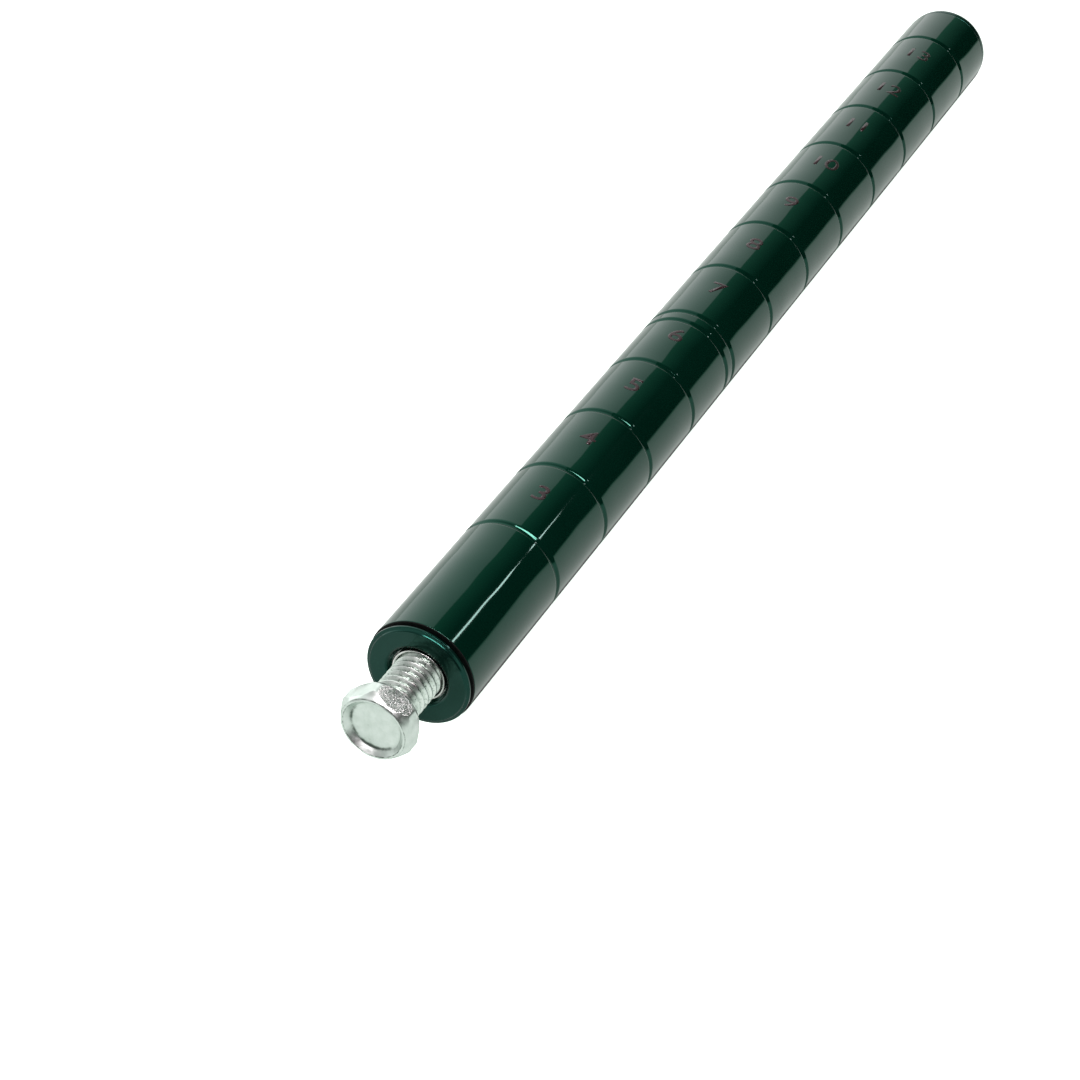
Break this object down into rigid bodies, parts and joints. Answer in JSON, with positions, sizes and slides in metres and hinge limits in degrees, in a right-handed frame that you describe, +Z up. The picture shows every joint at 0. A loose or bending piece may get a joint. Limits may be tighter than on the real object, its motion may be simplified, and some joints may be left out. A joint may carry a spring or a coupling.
{
  "type": "wire shelving post",
  "caption": "Grooved round steel shelving post, epoxy coated, with a screw leveling foot at the lower end and a push-in cap at the top.",
  "frame": {"origin": "middle of the post's length, directly under the axis, on the surface the post lies on", "axes": "+X along the post from the leveling foot to the capped end, +Z up with the printed height numbers facing up, +Y to the left when looking from foot to cap"},
  "size_m": [0.366, 0.0252, 0.0253],
  "materials": {
    "green_epoxy": "gloss",
    "green_plastic": "gloss",
    "insert_steel": "satin",
    "zinc_plate": "satin"
  },
  "bodies": {
    "post": {"post_tube": "green_epoxy", "foot_plug": "green_plastic", "threaded_insert": "insert_steel", "top_cap": "green_plastic"},
    "leveling_foot": {"leveling_bolt": "zinc_plate"}
  },
  "joints": [
    {"name": "foot_thread", "type": "slide", "parent": "post", "child": "leveling_foot", "axis": [-1, 0, 0], "range_m": [-0.0127, 0.0127]}
  ]
}
